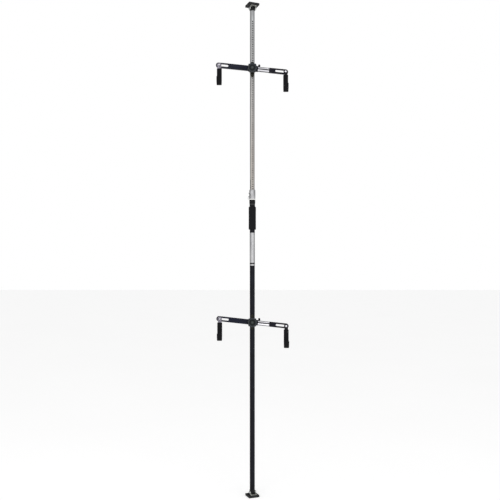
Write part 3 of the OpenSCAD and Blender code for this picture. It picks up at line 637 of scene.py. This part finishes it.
def knob(arm):
    node = f"{arm}_knob"
    low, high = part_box(node)
    depth = high.y - low.y
    outer = (high.x - low.x) / 2 - 0.15 * MM
    back = HUB_T
    # Along the axis, radius or change of the star's outline, and whether the star's outline holds
    profile = [(0.0, STUD_BORE_R, False), (0.0, HUB_R - 1 * MM, False), (1 * MM, HUB_R, False),
               (back - 0.6 * MM, HUB_R, False), (back, HUB_R + 1 * MM, False)]
    profile += [(back, -2.2 * MM, True), (back + 0.7 * MM, -0.8 * MM, True), (back + 2.2 * MM, 0.0, True),
                (depth - 4.5 * MM, 0.0, True), (depth - 2.4 * MM, -0.5 * MM, True),
                (depth - 0.9 * MM, -1.7 * MM, True), (depth - 0.35 * MM, -3.4 * MM, True)]
    profile += [(depth - along * MM, radius * MM, False) for along, radius in (
        (0.6, 22.4), (0.1, 21.9), (0.0, 21.3), (0.0, 20.2), (0.3, 19.7), (1.3, 19.3), (1.3, 16.9),
        (0.4, 16.4), (0.1, 15.8), (0.1, 13.8))]
    profile += [(depth - 0.5 * MM, CAP_POCKET_R, False), (depth - 2.6 * MM, CAP_POCKET_R, False),
                (depth - 2.6 * MM, STUD_BORE_R, False)]

    def shape(angle, radius, index):
        return star_radius(angle, outer) + radius if profile[index][2] else radius

    rings = turned_rings(middle_of_back(low, high), FORWARD, [p[:2] for p in profile], 216, shape)
    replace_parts(lofted(f"{arm}_star_knob", node, rings, closed_ends=False), node)


def knob_cap(arm):
    node = f"{arm}_knob_cap"
    low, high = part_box(node)
    depth = high.y - low.y
    outer = (high.x - low.x) / 2 - 0.05 * MM
    profile = [(0.0, 0.3 * MM), (0.0, outer)]
    profile += rounded_edge(depth - 1.4 * MM, outer - 0.9 * MM, 0.9 * MM, 0, 80)
    profile += [(depth - 0.55 * MM, outer - 1.6 * MM), (depth - 0.9 * MM, outer - 1.9 * MM),
                (depth - 0.9 * MM, outer - 2.5 * MM), (depth - 0.5 * MM, outer - 2.8 * MM)]
    # A dome that would sink by 0.45 mm at a radius of 9.5 mm
    profile += [(depth - 0.45 * MM * (r / 9.5) ** 2, r * MM) for r in (9.0, 7.0, 5.0, 3.0, 1.5, 0.3)]
    rings = turned_rings(middle_of_back(low, high), FORWARD, profile, 72)
    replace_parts(lofted(f"{arm}_domed_cap", node, rings), node)


for arm in ARMS:
    knob(arm)
    knob_cap(arm)


# Foam: the grip, and the sleeves round the hooks

def grip():
    low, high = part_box("grip")
    outer = (high.x - low.x) / 2
    tube_low, tube_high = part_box("lower_tube")
    bore = (tube_high.x - tube_low.x) / 2 + 0.02 * MM
    length = high.z - low.z
    corner = 3.2 * MM
    profile = [(0.0, bore)] + rounded_edge(corner, outer - corner, corner, -90, 0, 5)
    steps = 24
    for i in range(1, steps):
        along = corner + (length - 2 * corner) * i / steps
        squeeze = 0.25 * MM * math.sin(math.pi * i / steps) ** 2
        profile.append((along, outer - squeeze))
    profile += rounded_edge(length - corner, outer - corner, corner, 0, 90, 5) + [(length, bore)]
    rings = turned_rings((0, 0, low.z), UP, profile, 96)
    piece = lofted("foam_grip", "grip", rings, closed_ends=False)
    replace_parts(piece, "grip")


def sleeve_path(node):
    """The sleeve's mid-line from its top, round the bend to the lip, as (point, direction) pairs."""
    low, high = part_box(node)
    bend = (high.y - low.y - SLEEVE_T) / 2
    x = (low.x + high.x) / 2
    back = high.y - SLEEVE_T / 2
    centre_z = low.z + SLEEVE_T / 2 + bend
    top = high.z
    lip = low.z + SLEEVE_T / 2 + LIP_H
    straight, arc, rise = 10, 28, 3
    path = []
    for i in range(straight):
        path.append((Vector((x, back, top + (centre_z - top) * i / straight)), -UP))
    for i in range(arc + 1):
        a = math.pi * i / arc
        path.append((Vector((x, back - bend + bend * math.cos(a), centre_z - bend * math.sin(a))),
                     Vector((0, -math.sin(a), -math.cos(a)))))
    for i in range(1, rise + 1):
        path.append((Vector((x, back - 2 * bend, centre_z + (lip - centre_z) * i / rise)), UP))
    return path


def rounded_rectangle(half_w, half_t, corner, steps=5):
    """A rectangle's outline round the origin, with each corner in steps parts."""
    points = []
    for sx, sy, start in ((1, 1, 0), (-1, 1, 90), (-1, -1, 180), (1, -1, 270)):
        for i in range(steps + 1):
            a = math.radians(start + 90 * i / steps)
            points.append((sx * (half_w - corner) + corner * math.cos(a),
                           sy * (half_t - corner) + corner * math.sin(a)))
    return points


def sleeve(node):
    low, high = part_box(node)
    half_w = (high.x - low.x) / 2
    path = sleeve_path(node)
    rings = []

    def ring(point, direction, shrink):
        across = Vector((1, 0, 0))
        out = direction.cross(across)
        corner = SLEEVE_CORNER - shrink / 2
        section = rounded_rectangle(half_w - shrink, SLEEVE_T / 2 - shrink, corner)
        return [point + across * u + out * v for u, v in section]

    # Along from the end, and how much thinner the sleeve is there, in mm
    round_end = ((0.0, 1.6), (0.35, 0.75), (0.9, 0.25), (1.8, 0.0))
    start, down = path[0]
    end, up = path[-1]
    for along, shrink in round_end:
        rings.append(ring(start + down * along * MM, down, shrink * MM))
    rings += [ring(point, direction, 0.0) for point, direction in path[1:-1]]
    for along, shrink in reversed(round_end):
        rings.append(ring(end - up * along * MM, up, shrink * MM))
    piece = lofted(f"foam_{node}", node, rings)
    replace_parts(piece, node)


grip()
for arm in ARMS:
    for side in SIDES:
        sleeve(f"{arm}_{side}_sleeve")


# Hook bolts: a pan head with a cross recess, a shank and a chamfered nut with thread beyond it

def hex_shape(nut_at):
    """A bend for turned_rings: six flats on the profile points in nut_at, with chamfered corners."""
    def shape(angle, radius, index):
        if index not in nut_at:
            return radius
        flat = (angle + math.pi / 6) % (math.pi / 3) - math.pi / 6
        return min(NUT_AF / 2 / math.cos(flat), radius)
    return shape


def cross_cutter(centre, size, depth):
    """A cross that tapers inward to 0.55 of its width, with arms 0.2 of it thick."""
    bm = bmesh.new()
    for turn in (0, 90):
        made = bmesh.ops.create_cube(bm, size=1.0)["verts"]
        for v in made:
            deep = v.co.y > 0
            v.co = Vector((v.co.x * size * (0.55 if deep else 1.0), v.co.y * 2 * depth,
                           v.co.z * size * 0.2))
        lie = Matrix.Rotation(math.radians(turn + CROSS_TURN), 3, "Y")
        bmesh.ops.rotate(bm, verts=made, matrix=lie)
        bmesh.ops.translate(bm, verts=made, vec=centre)
    mesh = bpy.data.meshes.new("cross_cutter")
    bm.to_mesh(mesh)
    bm.free()
    cutter = bpy.data.objects.new("cross_cutter", mesh)
    bpy.context.scene.collection.objects.link(cutter)
    return cutter


def cut(piece, cutter):
    """Cuts the cutter's shape out of the piece, and removes the cutter."""
    modifier = piece.modifiers.new("cut", "BOOLEAN")
    modifier.object = cutter
    modifier.operation = "DIFFERENCE"
    modifier.solver = "EXACT"
    modifier.use_self = True
    graph = bpy.context.evaluated_depsgraph_get()
    mesh = bpy.data.meshes.new_from_object(piece.evaluated_get(graph))
    piece.modifiers.clear()
    piece.data = mesh
    bpy.data.objects.remove(cutter)


def hook_bolt(node):
    low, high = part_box(node)
    centre = middle_of_back(low, high)
    depth = high.y - low.y
    nut_front = THREAD_END + NUT_T
    thread = []
    steps = 5
    for i in range(steps):
        at = THREAD_END * i / steps
        thread += [(at, BOLT_R - 0.5 * MM), (at + 0.15 * MM, BOLT_R - 0.02 * MM)]
    # Just past the hexagon's corners, so that only the chamfered ends are round
    wide = NUT_AF / 2 * 1.16
    nut_end_r = NUT_AF / 2 - 0.3 * MM
    nut = [(THREAD_END, BOLT_R), (THREAD_END, nut_end_r), (THREAD_END + 1 * MM, wide),
           (nut_front - 1 * MM, wide), (nut_front, nut_end_r), (nut_front, BOLT_R)]
    under = depth - BOLT_HEAD_T
    head = [(under, BOLT_R), (under, BOLT_HEAD_R - 0.2 * MM), (under + 0.4 * MM, BOLT_HEAD_R)]
    dome_h, dome_w, dome_steps = 2.4 * MM, 3.4 * MM, 6
    for i in range(dome_steps + 1):
        a = math.radians(15 + 75 * i / dome_steps)
        head.append((depth - dome_h + dome_h * math.sin(a), BOLT_HEAD_R - dome_w + dome_w * math.cos(a)))
    head.append((depth, 0.3 * MM))
    profile = [(0.0, 0.3 * MM)] + thread + nut + head
    nut_at = set(range(1 + len(thread) + 1, 1 + len(thread) + len(nut) - 1))
    rings = turned_rings(centre, FORWARD, profile, 60, hex_shape(nut_at))
    piece = lofted(f"screw_{node}", node, rings)
    cut(piece, cross_cutter(centre + FORWARD * depth, CROSS_W, CROSS_D))
    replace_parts(piece, node)


for arm in ARMS:
    for side in SIDES:
        hook_bolt(f"{arm}_{side}_bolt")


# Ball screws: a ball with a moulding seam round it, on a small foot and a threaded shank

def ball_screw(node, centre, out, ball_r, shank_r, length):
    """The shank's end lies length inward of the ball's centre, along the axis that points out."""
    foot = ball_r - 1.2 * MM
    profile = [(-length, 0.2 * MM), (-length, shank_r - 0.5 * MM), (-length + 0.5 * MM, shank_r)]
    pitch = 0.8 * MM
    turns = int((length - foot - 1.6 * MM) / pitch)
    for i in range(turns):
        at = -length + 0.5 * MM + pitch * i
        profile += [(at + 0.3 * MM, shank_r), (at + 0.55 * MM, shank_r - 0.35 * MM), (at + pitch, shank_r)]
    foot_r = 0.62 * ball_r
    profile += [(-foot - 0.75 * MM, shank_r), (-foot - 0.75 * MM, foot_r - 0.3 * MM),
                (-foot - 0.5 * MM, foot_r), (-foot, foot_r)]
    start = math.degrees(math.acos(foot_r / ball_r))
    steps = 26
    for i in range(steps):
        a = math.radians(-start + (90 + start) * i / steps)
        seam = 0.12 * MM * math.exp(-(a * ball_r / (0.3 * MM)) ** 2)
        profile.append(((ball_r - seam) * math.sin(a), (ball_r - seam) * math.cos(a)))
    profile.append((ball_r, 0.2 * MM))
    rings = turned_rings(centre, out, profile, 48)
    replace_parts(lofted(f"ball_{node}", node, rings), node)


def lock_screw(arm):
    node = f"{arm}_lock_screw"
    low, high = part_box(node)
    ball_r = (high.y - low.y) / 2
    slope = arm_slope(arm)
    out = Vector((math.sin(slope), 0, math.cos(slope)))
    centre = Vector((high.x - ball_r, (low.y + high.y) / 2, high.z - ball_r))
    length = (centre.z - low.z - LOCK_SHANK_R * abs(out.x)) / out.z
    ball_screw(node, centre, out, ball_r, LOCK_SHANK_R, length)


def stop_screw():
    node = "stop_screw"
    low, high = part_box(node)
    ball_r = (high.z - low.z) / 2
    centre = Vector((low.x + ball_r, high.y - ball_r, (low.z + high.z) / 2))
    out = Vector((centre.x, centre.y, 0)).normalized()
    tip_x = high.x + abs(out.y) * STOP_SHANK_R
    length = (tip_x - centre.x) / abs(out.x)
    ball_screw(node, centre, out, ball_r, STOP_SHANK_R, length)


for arm in ARMS:
    lock_screw(arm)
stop_screw()


# Split ring on the lock pin: two turns of thin wire side by side

def split_ring():
    low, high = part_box("pull_ring")
    hinge = joint_named["ring_swing"]
    across = Vector(hinge["axis"]).normalized()
    normal = across.cross(UP).normalized()
    centre = (low + high) / 2
    # Each turn's wire is half as thick as the ring, along the ring's axis
    wire = RING_WIRE / 4
    radius = (high.z - low.z) / 2 - RING_WIRE / 2
    turns, steps, sides = 2, 56, 8
    rings = []
    for i in range(turns * steps + 1):
        a = 2 * math.pi * i / steps
        shift = wire * math.tanh(3 * (2 * i / (turns * steps) - 1))
        out = across * math.cos(a) + UP * math.sin(a)
        middle = centre + out * radius + normal * shift
        rings.append([middle + out * wire * 1.9 * math.cos(b) + normal * wire * math.sin(b)
                      for b in round_angles(sides)])
    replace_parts(lofted("split_ring", "pull_ring", rings), "pull_ring")


split_ring()


# Tension spring between the tube cap and the pin carrier; in the real rack it shortens and lengthens, while this
# piece stays as made

def tension_spring():
    node = "tension_spring"
    low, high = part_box(node)
    wire = SPRING_WIRE / 2
    radius = (high.x - low.x) / 2 - wire
    steps, sides = 48 * SPRING_TURNS, 12
    rings = []
    for i in range(steps + 1):
        a = 2 * math.pi * SPRING_TURNS * i / steps
        out = Vector((math.cos(a), math.sin(a), 0))
        middle = out * radius + UP * (low.z + wire + (high.z - low.z - 2 * wire) * i / steps)
        rings.append([middle + out * wire * math.cos(b) + UP * wire * math.sin(b)
                      for b in round_angles(sides)])
    piece = lofted("coil_spring", node, rings, rides=False)
    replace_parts(piece, node)
    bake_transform(piece)


tension_spring()


# Rigid pieces with their edges rounded as they are made

softened("floor_pad", 1.6 * MM, 3)
softened("ceiling_pad", 1.6 * MM, 3)
for end in ("floor", "ceiling"):
    softened(f"{end}_bracket", 0.5 * MM)
    softened(f"{end}_bolt", 0.4 * MM)
    softened(f"{end}_plug", 0.6 * MM)
softened("upper_tube", 0.35 * MM)
softened("tube_cap", 0.7 * MM)
softened("nylon_washer", 0.4 * MM)
softened("lock_housing", 0.5 * MM)
softened("lock_pin", 0.3 * MM)
for arm in ARMS:
    softened(f"{arm}_channel", 0.7 * MM)
    softened(f"{arm}_end_piece", 1.0 * MM)
    softened(f"{arm}_slide_bar", 0.4 * MM)
    softened(f"{arm}_strap", 0.35 * MM)
    softened(f"{arm}_saddle", 0.8 * MM)
    softened(f"{arm}_washer", 0.2 * MM)
    for side in SIDES:
        softened(f"{arm}_{side}_hook", 0.5 * MM)
        softened(f"{arm}_{side}_spacer", 0.4 * MM)


# Studio: a pale floor, soft light that is strongest from the front, and a camera as in the photo

def studio_world():
    """White to the camera. As a light it is bright in front and overhead, and dimmer at the back."""
    world = bpy.data.worlds.new("Studio")
    world.use_nodes = True
    tree = world.node_tree
    background = tree.nodes["Background"]
    background.inputs["Color"].default_value = rgb(1.0, 1.0, 1.0)
    place = tree.nodes.new("ShaderNodeTexCoord")
    axes = tree.nodes.new("ShaderNodeSeparateXYZ")
    front = tree.nodes.new("ShaderNodeMapRange")
    top = tree.nodes.new("ShaderNodeMapRange")
    total = tree.nodes.new("ShaderNodeMath")
    path = tree.nodes.new("ShaderNodeLightPath")
    pick = tree.nodes.new("ShaderNodeMix")
    tree.links.new(place.outputs["Generated"], axes.inputs[0])
    for ramp, axis, low, high in ((front, "Y", FRONT_LIGHT, BACK_LIGHT), (top, "Z", 0.0, TOP_LIGHT)):
        tree.links.new(axes.outputs[axis], ramp.inputs["Value"])
        for socket, value in (("From Min", -1.0 if axis == "Y" else 0.0), ("From Max", 1.0),
                              ("To Min", low), ("To Max", high)):
            ramp.inputs[socket].default_value = value
        ramp.interpolation_type = "SMOOTHSTEP"
    tree.links.new(front.outputs[0], total.inputs[0])
    tree.links.new(top.outputs[0], total.inputs[1])
    tree.links.new(path.outputs["Is Camera Ray"], pick.inputs[0])
    tree.links.new(total.outputs[0], pick.inputs[2])
    pick.inputs[3].default_value = 1.0
    tree.links.new(pick.outputs[0], background.inputs["Strength"])
    bpy.context.scene.world = world


def studio():
    f = Finish("Pale floor", 0.8, Emission_Color=rgb(1.0, 1.0, 1.0), Emission_Strength=FLOOR_GLOW)
    f.colour(f.mix(f.noise(0.8, 2.0), rgb(0.8, 0.8, 0.8), rgb(0.84, 0.84, 0.84)))
    bm = bmesh.new()
    bmesh.ops.create_grid(bm, x_segments=1, y_segments=1, size=FLOOR_HALF)
    mesh = bpy.data.meshes.new("studio_floor")
    bm.to_mesh(mesh)
    bm.free()
    mesh.materials.append(f.material)
    floor = bpy.data.objects.new("studio_floor", mesh)
    bpy.context.scene.collection.objects.link(floor)

    studio_world()
    middle = Vector((0, 0, cad_box[1][2] / 2))
    for name, place, power in LAMPS:
        light = bpy.data.lights.new(name, "AREA")
        light.size = LAMP_SIZE
        light.energy = power
        lamp = bpy.data.objects.new(name, light)
        lamp.location = place
        lamp.rotation_euler = (middle - Vector(place)).to_track_quat("-Z", "Y").to_euler()
        bpy.context.scene.collection.objects.link(lamp)

    camera = bpy.data.cameras.new("camera")
    camera.sensor_width = SENSOR_MM
    camera.lens = FOCAL_PX / PHOTO_PX * SENSOR_MM
    camera.shift_y = (HORIZON_PX - PHOTO_PX / 2) / PHOTO_PX
    camera.clip_end = 100
    view = bpy.data.objects.new("camera", camera)
    off_centre = (POLE_PX - PHOTO_PX / 2) * CAMERA_DISTANCE / FOCAL_PX
    view.location = (-off_centre, -CAMERA_DISTANCE, CAMERA_HEIGHT)
    view.rotation_euler = (math.radians(90), 0, 0)
    bpy.context.scene.collection.objects.link(view)
    bpy.context.scene.camera = view
    bpy.context.scene.view_settings.view_transform = "Standard"


studio()
